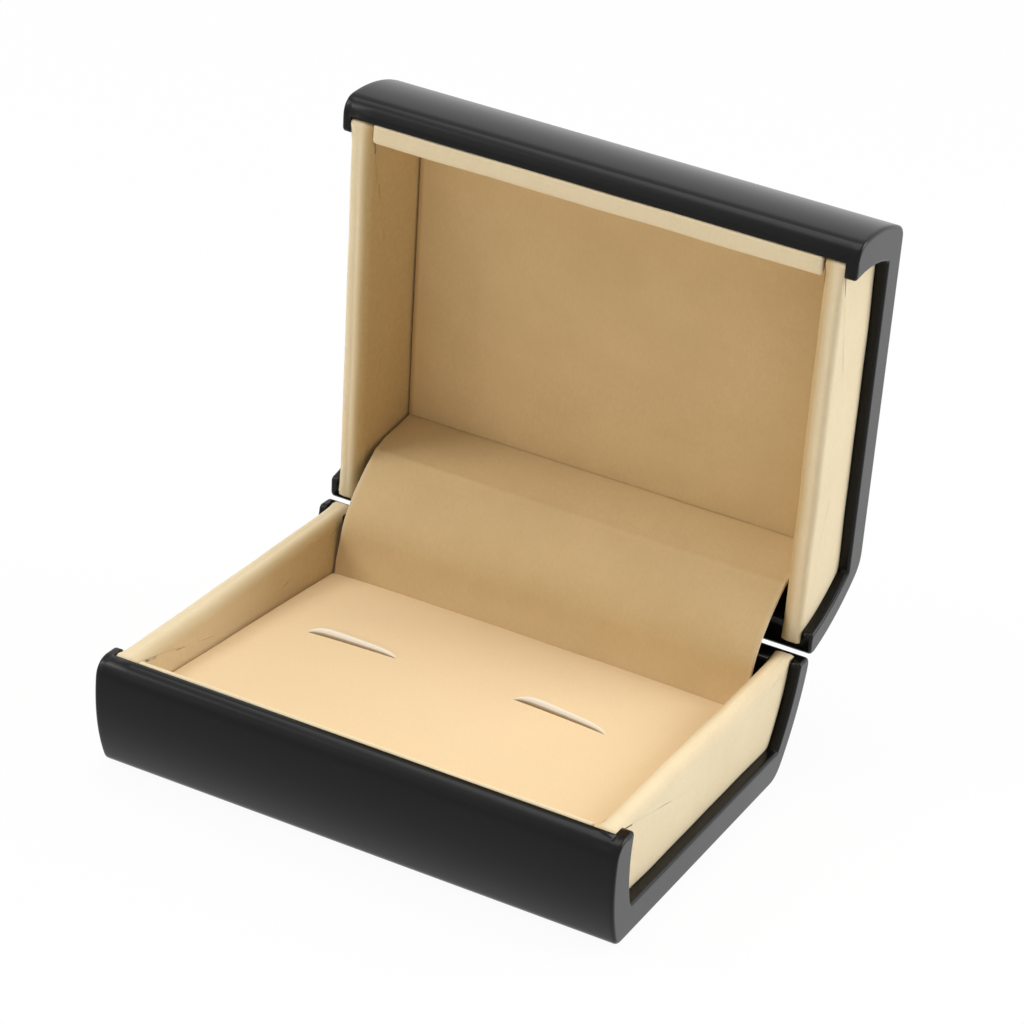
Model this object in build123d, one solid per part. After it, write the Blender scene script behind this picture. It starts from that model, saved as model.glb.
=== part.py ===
"""Cufflink display box, open.

A clamshell box of two black shells, each one plate and two flared walls open at both ends. Fabric
panels close the ends, a padded insert with two slots lies in the base, and a soft strip covers the
hinge. Frame: X along the width, Y from front (-) to back (+), Z up. The origin is on the table, in the
middle of the footprint. Each half is drawn as a base half: the lid's are mirrored in the closing plane
and turned open about the hinge pin.
"""

from build123d import *
import math
import os

# ---- driving dimensions (mm) ----
WIDTH = 80.0  # across the shells' end faces
HALF_HEIGHT = 18.5  # from a shell's plate to its rim
CLOSING_GAP = 0.6  # between the two rims with the box closed
OPEN_ANGLE = 79.0  # how far the lid stands open, in degrees

PLATE = 5.3  # thickness of the shells' plates
WALL = 5.4  # thickness of the flared walls at the open ends and along the hinge
FRONT_POCKET_WALL = 2.75  # the front wall where the liner and the panels sit in a pocket
BACK_POCKET_WALL = 2.1  # the back wall where the panels sit in a pocket
FOOT_DEPTH = 58.2  # front to back where a shell stands
BELLY_DEPTH = 69.6  # front to back at the crease, the widest place
FRONT_RIM = 32.9  # rim's outer edge before the middle of the box
BACK_RIM = 33.9  # the same behind the middle, on the hinge side
CREASE_HEIGHT = 16.2  # the crease below the rounded rim
FACE_BULGE = 1.15  # how far a wall's face swells beyond its chord
NOSE_BULGE = 0.4  # the same for the rounded rim
FRONT_CORNER = 2.0  # radius between plate and front wall
BACK_CORNER = 4.0  # radius between plate and back wall
BACK_RIM_ROUND = 0.6  # radius of the back rim's outer edge

PANEL_RECESS = 1.8  # end face of a shell to the outer face of an end panel
PANEL_BOARD = 2.0  # board inside an end panel
PANEL_SKIN = 0.5  # fabric round an end panel's board
PANEL_PADDING = 2.0  # extra thickness of the inner skin at its foot
PANEL_PROUD = 0.1  # how far a panel's soft edge stands above the rim
PANEL_ROUND = 1.6  # radius of the panel's corner beside the hinge

LID_LINER_BOARD = 2.0  # board of the lid's front liner
LID_LINER_SKIN = 1.2  # fabric over that board
BASE_LINER_BOARD = 0.4  # card of the base's front liner
BASE_LINER_SKIN = 0.4  # fabric over that card
PLATE_BOARD = 0.8  # board of the lid's lining
PLATE_SKIN = 0.4  # fabric over that board
PLATE_LINING_BACK = 23.5  # where the lid's lining ends towards the hinge, from the middle

PAD_BOARD = 1.0  # board under the insert
PAD_BACK_TOP = 11.2  # height of the insert at its back edge
PAD_FRONT_TOP = 14.2  # height of the insert at its front edge
PAD_CROWN = 2.2  # how far the middle of its top swells above the line between those edges
PAD_SIDE_CROWN = 0.8  # the same beside the end panels
PAD_SKIN = 0.6  # fabric over the foam
SLOT_LENGTH = 14.5
SLOT_WIDTH = 0.9
SLOT_DEPTH = 5.0
SLOT_SPACING = 33.0  # between the two slots' middles
SLOT_BACK = 0.8  # slots behind the middle of the box

PIN_RADIUS = 0.6
KNUCKLE_WALL = 0.4
PIN_SET_BACK = 34.0  # hinge pin behind the middle of the box
HINGE_LENGTH = 44.0
KNUCKLES = 5
KNUCKLE_GAP = 0.15  # between neighbouring knuckles
LEAF = 0.5  # sheet thickness of the leaves
LEAF_SINK = 0.35  # how deep a leaf lies in the rim
LEAF_DROP = 9.0  # how far a leaf reaches down the inside of the wall
SCREW_SPACING = 30.0
SCREW_SHANK = 1.6
SCREW_HEAD = 3.0
SCREW_HEAD_HEIGHT = 0.8
SCREW_LENGTH = 3.6
SCREW_DROP = 6.0  # screws below the rim

COVER = 0.8  # thickness of the hinge cover
COVER_MARGIN = 6.0  # from a side edge of the cover to the shells' end face
COVER_KNEE = 16.5  # height where the cover leaves the base's back wall
COVER_CREASE = 15.6  # height of its crease in the lid, measured as in the base
COVER_CREASE_BACK = 25.6  # the same crease behind the middle, measured as in the base

# ---- clearances (mm) ----
SEAT = 0.05  # round a piece glued against a curved face
SIDE = 0.3  # between pieces laid beside each other
RUN = 0.03  # hinge pin in a knuckle
BARREL_ROOM = 0.2  # round the hinge barrel and its leaves

CLOSING_PLANE = HALF_HEIGHT + CLOSING_GAP / 2
KNUCKLE_RADIUS = PIN_RADIUS + RUN + KNUCKLE_WALL
PANEL_THICKNESS = PANEL_BOARD + 2 * PANEL_SKIN
PANEL_OUTER = WIDTH / 2 - PANEL_RECESS
PANEL_INNER = PANEL_OUTER - PANEL_THICKNESS
# outer face of a wall to the back of the hinge cover, clear of the leaf and its screws
COVER_INSET = WALL + SEAT + LEAF + SEAT + SCREW_HEAD_HEIGHT + SIDE
PAD_BACK_INSET = COVER_INSET + COVER + SIDE
PAD_FRONT_INSET = FRONT_POCKET_WALL + SEAT + BASE_LINER_BOARD + BASE_LINER_SKIN + SIDE
PLATE_LINING_INSET = FRONT_POCKET_WALL + SEAT + LID_LINER_BOARD + LID_LINER_SKIN + SIDE
PIN_AXIS = Axis((0, PIN_SET_BACK, CLOSING_PLANE), (1, 0, 0))


# ---- the walls' curves ----
class WallFace:
    """The round face of a wall, as a circle in half-depth and height."""

    def __init__(self):
        foot, top = (FOOT_DEPTH / 2, 0.0), (BELLY_DEPTH / 2, CREASE_HEIGHT)
        run, rise = top[0] - foot[0], top[1] - foot[1]
        chord = math.hypot(run, rise)
        self.radius = chord**2 / (8 * FACE_BULGE) + FACE_BULGE / 2
        reach = self.radius - FACE_BULGE
        self.depth = (foot[0] + top[0]) / 2 - reach * rise / chord
        self.height = (foot[1] + top[1]) / 2 + reach * run / chord

    def at(self, height, inward=0.0):
        """Half-depth of the face, or of a surface that lies inward of it, at a height."""
        return self.depth + math.sqrt((self.radius - inward) ** 2 - (height - self.height) ** 2)

    def slope(self, height, inward=0.0):
        """Angle of the face's outward normal above the horizontal at a height, in degrees."""
        return math.degrees(math.asin((height - self.height) / (self.radius - inward)))


FACE = WallFace()


def arc(start, end, inward):
    """Arc along the wall's curve between two heights, on the back side."""
    middle = (start + end) / 2
    points = [(FACE.at(z, inward), z) for z in (start, middle, end)]
    return ThreePointArc(*points)


def bulged(start, end, bulge):
    """Arc between two points that swells by a given amount to the right of its run."""
    run, rise = end[0] - start[0], end[1] - start[1]
    chord = math.hypot(run, rise)
    across = (start[0] + end[0]) / 2 + bulge * rise / chord
    up = (start[1] + end[1]) / 2 - bulge * run / chord
    return ThreePointArc(start, (across, up), end)


def extruded(edges, start, end):
    """Solid from a closed outline in the Y-Z plane, between two places along X."""
    return Pos(start, 0, 0) * extrude(Plane.YZ * make_face(edges), end - start)


def shell_section():
    """Outline of one shell: plate, two flared walls and rounded rims."""
    foot, floor = FOOT_DEPTH / 2, FACE.at(PLATE, WALL)
    belly, inner = (BELLY_DEPTH / 2, CREASE_HEIGHT), (FACE.at(HALF_HEIGHT, WALL), HALF_HEIGHT)

    def side(depth):
        rim = (depth, HALF_HEIGHT)
        outside = [arc(0, CREASE_HEIGHT, 0), bulged(belly, rim, NOSE_BULGE)]
        return outside + [Line(rim, inner), arc(HALF_HEIGHT, PLATE, WALL)]

    front = [mirror(edge, Plane.YZ) for edge in side(FRONT_RIM)]
    return side(BACK_RIM) + front + [Line((-foot, 0), (foot, 0)), Line((floor, PLATE), (-floor, PLATE))]


def room_section(front_inset, back_inset, bottom, top):
    """Outline between the walls from one height to another, set in from their outer faces."""
    back, front = arc(bottom, top, back_inset), mirror(arc(bottom, top, front_inset), Plane.YZ)
    return [back, front, Line(back @ 0, front @ 0), Line(back @ 1, front @ 1)]


def between_panels(gap):
    """The space between the two end panels' inner faces, less a gap, as a tapered block."""
    top, low = PANEL_INNER - gap, PANEL_INNER - PANEL_PADDING - gap
    edge = HALF_HEIGHT + PANEL_PROUD
    outline = Polyline((-low, PLATE), (low, PLATE), (top, edge), (-top, edge), close=True)
    return extrude(Plane.XZ * make_face(outline), WIDTH / 2, both=True)


# ---- one half of the box ----
def pockets():
    """The room cut into a shell's walls for the end panels and the front liner."""
    half = PANEL_OUTER + SEAT
    outline = room_section(FRONT_POCKET_WALL, BACK_POCKET_WALL, PLATE, HALF_HEIGHT + PLATE)
    room = extruded(outline, -half, half)
    back_half = Pos(0, WIDTH / 2, HALF_HEIGHT / 2) * Box(WIDTH, WIDTH, WIDTH)
    return room - (between_panels(SEAT) & back_half)


def shell():
    """A shell with its pockets, the mortises for its hinge leaf and pilot holes for the leaf's screws."""
    body = extruded(shell_section(), -WIDTH / 2, WIDTH / 2)
    rim_edges = body.edges().filter_by(Axis.X).filter_by(lambda e: e.center().Z > HALF_HEIGHT - 0.01)
    body = fillet(rim_edges.sort_by(Axis.Y)[-1], BACK_RIM_ROUND)
    foot_edges = body.edges().filter_by(Axis.X).filter_by(lambda e: e.center().Z < 0.01)
    body = fillet(foot_edges.sort_by(Axis.Y)[0], FRONT_CORNER)
    foot_edges = body.edges().filter_by(Axis.X).filter_by(lambda e: e.center().Z < 0.01)
    body = fillet(foot_edges.sort_by(Axis.Y)[-1], BACK_CORNER)
    body -= pockets()
    reach = HINGE_LENGTH / 2 + BARREL_ROOM
    barrel = Cylinder(KNUCKLE_RADIUS + BARREL_ROOM, 2 * reach, rotation=(0, 90, 0))
    body -= Pos(0, PIN_SET_BACK, CLOSING_PLANE) * barrel
    mortise = Box(2 * reach, WALL, 2 * LEAF_SINK, align=(Align.CENTER, Align.MAX, Align.CENTER))
    body -= Pos(0, PIN_SET_BACK, HALF_HEIGHT) * mortise
    for place in screw_places():
        body -= place * Cylinder(SCREW_SHANK / 2, SCREW_LENGTH, align=(Align.CENTER, Align.CENTER, Align.MIN))
    return body


def panel_section(inward, edge):
    """Outline of an end panel: the room between the pockets, rounded beside the hinge."""
    front, back = FRONT_POCKET_WALL + SEAT + inward, BACK_POCKET_WALL + SEAT + inward
    body = make_face(room_section(front, back, PLATE, HALF_HEIGHT + edge))
    corner = body.vertices().sort_by(Axis.Y).filter_by(lambda v: v.X > 0)[-1]
    return fillet(corner, PANEL_ROUND)


def panel(side):
    """Board and fabric of an end panel, on the left (-1) or the right (1)."""
    board_face = panel_section(PANEL_SKIN, PANEL_PROUD - PANEL_SKIN)
    skin_face = panel_section(0, PANEL_PROUD)
    board = Pos(PANEL_INNER + PANEL_SKIN, 0, 0) * extrude(Plane.YZ * board_face, PANEL_BOARD)
    thick = PANEL_THICKNESS + PANEL_PADDING
    block = Pos(PANEL_OUTER - thick, 0, 0) * extrude(Plane.YZ * skin_face, thick)
    skin = block - between_panels(0) - board
    if side < 0:
        board, skin = mirror(board, Plane.YZ), mirror(skin, Plane.YZ)
    return board, skin


def front_liner(board_thickness, skin_thickness):
    """Board and fabric of the liner inside the front wall."""
    top = HALF_HEIGHT + PANEL_PROUD
    front_half = Pos(0, -WIDTH / 2, HALF_HEIGHT / 2) * Box(WIDTH, WIDTH, WIDTH)
    space = between_panels(SIDE) & front_half

    def inside(inward, high):
        inset = FRONT_POCKET_WALL + SEAT + inward
        return extruded(room_section(inset, inset, PLATE, high), -WIDTH / 2, WIDTH / 2)

    whole = inside(0, top) - inside(board_thickness + skin_thickness, top)
    board = inside(0, top - skin_thickness) - inside(board_thickness, top - skin_thickness)
    return board & space, (whole - board) & space


def leaf(own):
    """Hinge leaf of a half: a strip in the rim's mortise, a flap down the wall and its knuckles."""
    centre = (PIN_SET_BACK, CLOSING_PLANE)
    low, top = HALF_HEIGHT - LEAF_DROP, HALF_HEIGHT - LEAF_SINK
    neck, wall = PIN_SET_BACK - KNUCKLE_RADIUS - KNUCKLE_GAP, FACE.at(top, WALL + SEAT + LEAF / 2)
    half = HINGE_LENGTH / 2
    outer, inner = arc(low, top + LEAF, WALL + SEAT), arc(top + LEAF, low, WALL + SEAT + LEAF)
    ends = [Line(outer @ 1, inner @ 0), Line(inner @ 1, outer @ 0)]
    body = extruded([outer, inner] + ends, -half, half)
    body += Pos(0, (neck + wall) / 2, top + LEAF / 2) * Box(HINGE_LENGTH, neck - wall, LEAF)
    pitch = HINGE_LENGTH / KNUCKLES
    for n in range(KNUCKLES):
        if n % 2 == own:
            middle = -half + (n + 0.5) * pitch
            ring = Cylinder(KNUCKLE_RADIUS, pitch - KNUCKLE_GAP, rotation=(0, 90, 0))
            body += Pos(middle, *centre) * ring
            web = Box(pitch - KNUCKLE_GAP, PIN_SET_BACK - neck, LEAF)
            body += Pos(middle, (PIN_SET_BACK + neck) / 2, top + LEAF / 2) * web
    body -= Pos(0, *centre) * Cylinder(PIN_RADIUS + RUN, WIDTH, rotation=(0, 90, 0))
    for place in screw_places():
        body -= place * Cylinder(SCREW_SHANK / 2 + RUN, 2 * WALL)
    return body


def screw_places():
    """Where the leaf's screws enter the wall, each with its Z axis pointing into the wall."""
    height = HALF_HEIGHT - SCREW_DROP
    tilt = FACE.slope(height, WALL)
    depth = FACE.at(height, WALL + SEAT)
    return [Pos(x, depth, height) * Rot(tilt - 90, 0, 0) for x in (-SCREW_SPACING / 2, SCREW_SPACING / 2)]


def screws():
    """Two round-headed screws that hold a leaf to its wall."""
    up = (Align.CENTER, Align.CENTER, Align.MIN)
    down = (Align.CENTER, Align.CENTER, Align.MAX)
    seat = Pos(0, 0, -LEAF - SEAT)
    screw = seat * Cylinder(SCREW_SHANK / 2, SCREW_LENGTH + LEAF, align=up)
    screw += seat * Cylinder(SCREW_HEAD / 2, SCREW_HEAD_HEIGHT, align=down)
    return Compound([place * screw for place in screw_places()])


# ---- the insert in the base ----
def pad():
    """Board, foam and slotted fabric of the insert, a low pillow that is higher at the front."""
    front, back = FACE.at(PLATE, PAD_FRONT_INSET), FACE.at(PLATE, PAD_BACK_INSET)
    front_top, back_top = FACE.at(PAD_FRONT_TOP, PAD_FRONT_INSET), FACE.at(PAD_BACK_TOP, PAD_BACK_INSET)
    room = between_panels(SIDE)

    def section(drop, crown, place):
        back_edge, front_edge = (back_top, PAD_BACK_TOP - drop), (-front_top, PAD_FRONT_TOP - drop)
        sides = Polyline(front_edge, (-front, PLATE), (back, PLATE), back_edge)
        return Pos(place, 0, 0) * (Plane.YZ * make_face([bulged(back_edge, front_edge, crown), sides]))

    def block(drop):
        crowns = ((PAD_SIDE_CROWN, -PANEL_INNER), (PAD_CROWN, 0), (PAD_SIDE_CROWN, PANEL_INNER))
        return loft([section(drop, crown, place) for crown, place in crowns]) & room

    floor = Pos(0, 0, PLATE + PAD_BOARD - WIDTH / 2) * Box(WIDTH, WIDTH, WIDTH)
    whole, under_skin = block(0), block(PAD_SKIN)
    share = (back_top - SLOT_BACK) / (back_top + front_top)
    slot_top = PAD_BACK_TOP + share * (PAD_FRONT_TOP - PAD_BACK_TOP) + 4 * PAD_CROWN * share * (1 - share)
    cut = Box(SLOT_LENGTH, SLOT_WIDTH, 2 * SLOT_DEPTH)
    slots = [Pos(x, SLOT_BACK, slot_top) * cut for x in (-SLOT_SPACING / 2, SLOT_SPACING / 2)]
    return whole & floor, under_skin - floor - slots, whole - under_skin - slots


# ---- the hinge cover ----
def cover_path():
    """Middle line of the cover: up the base's back wall, over the hinge, then in to the lid's lining."""
    inset = COVER_INSET + COVER / 2
    low = PLATE + COVER / 2
    start, knee = (FACE.at(low, inset), low), (FACE.at(COVER_KNEE, inset), COVER_KNEE)
    crease = opened(COVER_CREASE_BACK, COVER_CREASE)
    lid_end = opened(PLATE_LINING_BACK + SIDE + COVER / 2, PLATE + COVER / 2)
    wall = ThreePointArc(start, (FACE.at((low + COVER_KNEE) / 2, inset), (low + COVER_KNEE) / 2), knee)
    over = Spline(knee, crease, tangents=[wall % 1, (1.0, 0.7)])
    return wall, over, Line(crease, lid_end)


def opened(depth, height):
    """Place in the standing-open lid of a point given as in the base."""
    turn = math.radians(OPEN_ANGLE)
    run, rise = depth - PIN_SET_BACK, 2 * CLOSING_PLANE - height - CLOSING_PLANE
    return (
        PIN_SET_BACK + run * math.cos(turn) + rise * math.sin(turn),
        CLOSING_PLANE - run * math.sin(turn) + rise * math.cos(turn),
    )


def hinge_cover():
    """The soft strip that hides the hinge, trimmed where it passes between the end panels."""
    strip = trace(Wire(cover_path()), COVER)
    half = WIDTH / 2 - COVER_MARGIN
    body = Pos(-half, 0, 0) * extrude(Plane.YZ * strip, 2 * half)
    rim = HALF_HEIGHT + PANEL_PROUD
    slab = Pos(0, 0, (PLATE + rim) / 2) * Box(WIDTH, WIDTH, rim - PLATE)
    sides = slab - between_panels(SIDE)
    return body - sides - in_lid(sides)


def in_lid(shape):
    """A base-like piece put where the open lid has it."""
    shape = mirror(shape, Plane.XY.offset(CLOSING_PLANE))
    return shape.rotate(PIN_AXIS, -OPEN_ANGLE)


def lid_lining():
    """Board and fabric that line the lid's plate."""
    front = FACE.at(PLATE, PLATE_LINING_INSET)
    length = front + PLATE_LINING_BACK
    half = PANEL_INNER - PANEL_PADDING - SIDE
    middle = (PLATE_LINING_BACK - front) / 2
    board = Pos(0, middle, PLATE + PLATE_BOARD / 2) * Box(2 * half, length, PLATE_BOARD)
    skin = Pos(0, middle, PLATE + PLATE_BOARD + PLATE_SKIN / 2) * Box(2 * half, length, PLATE_SKIN)
    return board, skin


def pin():
    """The hinge pin, cut off level with the barrel."""
    return Pos(0, PIN_SET_BACK, CLOSING_PLANE) * Cylinder(PIN_RADIUS, HINGE_LENGTH, rotation=(0, 90, 0))


# ---- all nodes ----
def build_nodes():
    nodes = {"base_shell": shell(), "lid_shell": in_lid(shell())}
    for name, side in (("left", -1), ("right", 1)):
        board, skin = panel(side)
        nodes[f"base_end_board_{name}"], nodes[f"base_end_skin_{name}"] = board, skin
        nodes[f"lid_end_board_{name}"], nodes[f"lid_end_skin_{name}"] = in_lid(board), in_lid(skin)
    board, skin = front_liner(BASE_LINER_BOARD, BASE_LINER_SKIN)
    nodes["base_front_liner_board"], nodes["base_front_liner_skin"] = board, skin
    board, skin = front_liner(LID_LINER_BOARD, LID_LINER_SKIN)
    nodes["lid_front_liner_board"], nodes["lid_front_liner_skin"] = in_lid(board), in_lid(skin)
    nodes["pad_board"], nodes["pad_foam"], nodes["pad_skin"] = pad()
    board, skin = lid_lining()
    nodes["lid_lining_board"], nodes["lid_lining_skin"] = in_lid(board), in_lid(skin)
    nodes["hinge_leaf_base"], nodes["hinge_leaf_lid"] = leaf(0), in_lid(leaf(1))
    nodes["hinge_screws_base"], nodes["hinge_screws_lid"] = screws(), in_lid(screws())
    nodes["hinge_pin"] = pin()
    nodes["hinge_cover"] = hinge_cover()
    return nodes


os.makedirs("parts", exist_ok=True)
for node, shape in build_nodes().items():
    export_step(shape, f"parts/{node}.step")
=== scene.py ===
"""Cufflink display box: shells, cloth panels, pillow, lining and hinge cover."""
import logging
import math
from dataclasses import dataclass
from enum import Enum

import bmesh
import bpy
import numpy as np
from mathutils import Matrix, Vector


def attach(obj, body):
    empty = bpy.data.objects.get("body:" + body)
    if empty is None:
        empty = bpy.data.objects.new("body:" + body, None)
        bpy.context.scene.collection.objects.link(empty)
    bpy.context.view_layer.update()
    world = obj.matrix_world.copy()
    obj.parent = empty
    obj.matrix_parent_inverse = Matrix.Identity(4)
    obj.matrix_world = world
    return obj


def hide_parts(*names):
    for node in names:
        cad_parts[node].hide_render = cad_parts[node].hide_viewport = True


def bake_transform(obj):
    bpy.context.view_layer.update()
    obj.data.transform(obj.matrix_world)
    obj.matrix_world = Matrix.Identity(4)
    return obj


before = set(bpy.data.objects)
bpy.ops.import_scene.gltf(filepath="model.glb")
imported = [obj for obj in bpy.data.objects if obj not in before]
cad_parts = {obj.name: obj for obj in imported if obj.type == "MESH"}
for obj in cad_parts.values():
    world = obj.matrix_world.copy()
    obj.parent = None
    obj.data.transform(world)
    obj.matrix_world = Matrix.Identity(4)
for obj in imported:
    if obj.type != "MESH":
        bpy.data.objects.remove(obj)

Array = np.ndarray
Heights = np.ndarray | float
Place = tuple[float, float]
Triple = tuple[float, float, float]
Socket = bpy.types.NodeSocket

MM = 0.001
TINY = 1e-9
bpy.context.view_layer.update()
log = logging.getLogger("cufflink_box")


class Half(Enum):
    """The two halves of the box, which are also its bodies."""

    BASE = "base"
    LID = "lid"


class Side(Enum):
    """The two ends of the box, whose values are their directions along X."""

    LEFT = -1
    RIGHT = 1


# ---------------------------------------------------------------- the box's own frame
@dataclass(frozen=True)
class BoxSizes:
    """Sizes in millimetres that the pieces share, each half drawn as a base half."""

    width: float = 80.0
    half_height: float = 18.5
    closing_plane: float = 18.8
    open_angle: float = 79.0
    plate: float = 5.3
    wall: float = 5.4
    front_pocket_wall: float = 2.75
    back_pocket_wall: float = 2.1
    foot: float = 58.2
    belly: float = 69.6
    front_rim: float = 32.9
    crease: float = 16.2
    swell: float = 1.15
    nose: float = 0.4
    pin_back: float = 34.0
    panel_outer: float = 38.2
    panel_thick: float = 3.0
    panel_padding: float = 2.0
    left_outset: float = 0.45
    proud: float = 0.1

    @property
    def panel_inner(self) -> float:
        """Inner face of an end panel at the rim."""
        return self.panel_outer - self.panel_thick

    @property
    def top(self) -> float:
        """Height of the cloth's edges."""
        return self.half_height + self.proud

    def wall_circle(self) -> Triple:
        """Radius, depth and height of the circle that a wall's outer face follows.

        Returns:
            The circle through the foot's edge and the belly that swells by the given amount.
        """
        run, rise = (self.belly - self.foot) / 2, self.crease
        chord = math.hypot(run, rise)
        radius = chord**2 / (8 * self.swell) + self.swell / 2
        reach = radius - self.swell
        depth = (self.foot + self.belly) / 4 - reach * rise / chord
        return radius, depth, rise / 2 + reach * run / chord

    def face(self, height: Heights, inward: float = 0.0) -> Array:
        """Half-depth of a wall's face, or of a surface inward of it.

        Args:
            height: Heights above the foot.
            inward: How far the surface lies inside the face.

        Returns:
            The circle's half-depth at each height.
        """
        radius, depth, middle = self.wall_circle()
        return depth + np.sqrt((radius - inward) ** 2 - (np.asarray(height, float) - middle) ** 2)

    def below_rim(self, height: Heights) -> Array:
        """Share of the way down from the cloth's edges, 0, to the plate, 1."""
        share = (self.top - np.asarray(height, float)) / (self.top - self.plate)
        return np.clip(share, 0, 1)

    def between_panels(self, height: Heights, gap: float) -> Array:
        """Half-width of the room between the end panels.

        Args:
            height: Heights above the foot.
            gap: Room left beside each panel.

        Returns:
            The panels' inner face, which tapers from the rim to the plate, less the gap.
        """
        return self.panel_inner - self.panel_padding * self.below_rim(height) - gap

    def opened(self, places: Array) -> Array:
        """Depth and height in the standing-open lid.

        Args:
            places: Depth and height pairs, drawn as in the base.

        Returns:
            The pairs mirrored in the closing plane and turned about the hinge pin.
        """
        turn = math.radians(self.open_angle)
        run, rise = places[..., 0] - self.pin_back, self.closing_plane - places[..., 1]
        depth = self.pin_back + run * math.cos(turn) + rise * math.sin(turn)
        height = self.closing_plane - run * math.sin(turn) + rise * math.cos(turn)
        return np.stack([depth, height], axis=-1)

    def placed(self, points: Array, half: Half) -> Array:
        """Points in metres where the given half has them.

        Args:
            points: X, depth and height in millimetres, drawn as in the base.
            half: The half that the piece belongs to.

        Returns:
            Points of the same shape in the row frame.
        """
        points = np.array(points, float)
        if half is Half.LID:
            points[..., 1:] = self.opened(points[..., 1:])
        return points * MM


BOX = BoxSizes()


# ---------------------------------------------------------------- curves as whole arrays
def lengths_along(points: Array) -> Array:
    """Distance along a run of points, from 0 at its first: the running sum of the steps."""
    return np.concatenate([[0.0], np.cumsum(np.linalg.norm(np.diff(points, axis=0), axis=1))])


def at_lengths(points: Array, wanted: Array) -> Array:
    """Places at given distances along a run, straight between neighbouring points.

    Args:
        points: Places in order, one a row.
        wanted: Distances from the first place.

    Returns:
        One place for each distance.
    """
    along = lengths_along(points)
    return np.stack([np.interp(wanted, along, axis) for axis in points.T], axis=1)


def with_round_corners(
    runs: list[Array], reaches: list[float], per_run: list[int], per_corner: int = 5
) -> Array:
    """Joins runs and rounds the corner after each one.

    A corner is the quadratic curve whose ends lie one reach before and after it, and whose middle
    pole is the corner itself.

    Args:
        runs: Smooth stretches, each beginning where the one before ends.
        reaches: Reach of the corner after each run, and 0 after the last run of an open line.
        per_run: Number of points along each run.
        per_corner: Number of points inside each corner.

    Returns:
        The line's points in order. On a closed line the last corner leads back to the first run.
    """
    out = []
    t = np.linspace(0, 1, per_corner + 2)[1:-1, None]
    for k, run in enumerate(runs):
        length = lengths_along(run)[-1]
        body = at_lengths(run, np.linspace(reaches[k - 1], length - reaches[k], per_run[k]))
        out.append(body)
        if reaches[k] > 0:
            follower = runs[(k + 1) % len(runs)]
            start, corner, end = body[-1], run[-1], at_lengths(follower, np.array([reaches[k]]))[0]
            out.append((1 - t) ** 2 * start + 2 * t * (1 - t) * corner + t**2 * end)
    return np.concatenate(out)


def straight(start: Place, end: Place, count: int = 2) -> Array:
    """Evenly spaced points from one place to another."""
    return np.linspace(start, end, count)


def bowed(start: Place, end: Place, bow: float, count: int = 24) -> Array:
    """A shallow arc that swells to the right of its run.

    The offset from the chord is bow * (1 - s^2), with s from -1 to 1 along it.

    Args:
        start: First place.
        end: Last place.
        bow: Offset at the middle.
        count: Number of points.

    Returns:
        The arc's points.
    """
    line = np.linspace(start, end, count)
    run, rise = np.subtract(end, start) / math.dist(start, end)
    swell = bow * (1 - np.linspace(-1, 1, count) ** 2)
    return line + swell[:, None] * np.array([rise, -run])


def wall_arc(low: float, high: float, inward: float, count: int = 32) -> Array:
    """The back wall's curve between two heights, set inward of its outer face."""
    heights = np.linspace(low, high, count)
    return np.stack([BOX.face(heights, inward), heights], axis=1)


def mirrored(points: Array) -> Array:
    """The same line on the other side of the box, in the opposite order."""
    return (points * np.array([-1.0, 1.0]))[::-1]


def hermite(start: Array, end: Array, leave: Array, arrive: Array, count: int) -> Array:
    """A cubic between two places with given tangents, whose lengths are the chord's.

    Args:
        start: First place.
        end: Last place.
        leave: Direction at the first place.
        arrive: Direction at the last place.
        count: Number of points.

    Returns:
        The cubic's points.
    """
    t = np.linspace(0, 1, count)[:, None]
    chord = np.linalg.norm(end - start)
    a, b = leave / np.linalg.norm(leave) * chord, arrive / np.linalg.norm(arrive) * chord
    ends = (2 * t**3 - 3 * t**2 + 1) * start + (3 * t**2 - 2 * t**3) * end
    return ends + (t**3 - 2 * t**2 + t) * a + (t**3 - t**2) * b


def bell(distance: Array, width: float) -> Array:
    """A smooth bump, exp(-(distance / width)^2), which is 1 where the distance is 0."""
    return np.exp(-((distance / width) ** 2))


def quarter(away: Array, radius: float) -> Array:
    """Inset of a quarter circle from the flat it meets, radius - sqrt(radius^2 - away^2)."""
    return radius - np.sqrt(np.maximum(0, radius**2 - away**2))


def outward_normals(loop: Array) -> Array:
    """Outward normals of a closed line, a quarter turn from its central differences.

    Args:
        loop: The line's points in order, either way round.

    Returns:
        One unit vector for each point.
    """
    tangent = np.roll(loop, -1, axis=0) - np.roll(loop, 1, axis=0)
    normal = np.stack([tangent[:, 1], -tangent[:, 0]], axis=1)
    normal /= np.maximum(np.linalg.norm(normal, axis=1), TINY)[:, None]
    y, z = loop.T
    area = np.sum(y * np.roll(z, -1) - np.roll(y, -1) * z)
    return normal * np.sign(area)


def ramp(values: Array, start: float, run: float) -> Array:
    """Share of the way along a run: 0 before its start, 1 after its end, straight between."""
    return np.clip((values - start) / run, 0, 1)


def drawn_in(edge: Array, centre: Array, shares: Array) -> Array:
    """Copies of a line drawn towards a centre, one for each share of its size."""
    return centre + shares[:, None, None] * (edge - centre)


def with_places(places: Array, sections: Array) -> Array:
    """Sections of depth and height, each with its place along X put before them."""
    along = np.broadcast_to(places[:, None, None], sections.shape[:2] + (1,))
    return np.concatenate([along, sections], axis=2)


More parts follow.
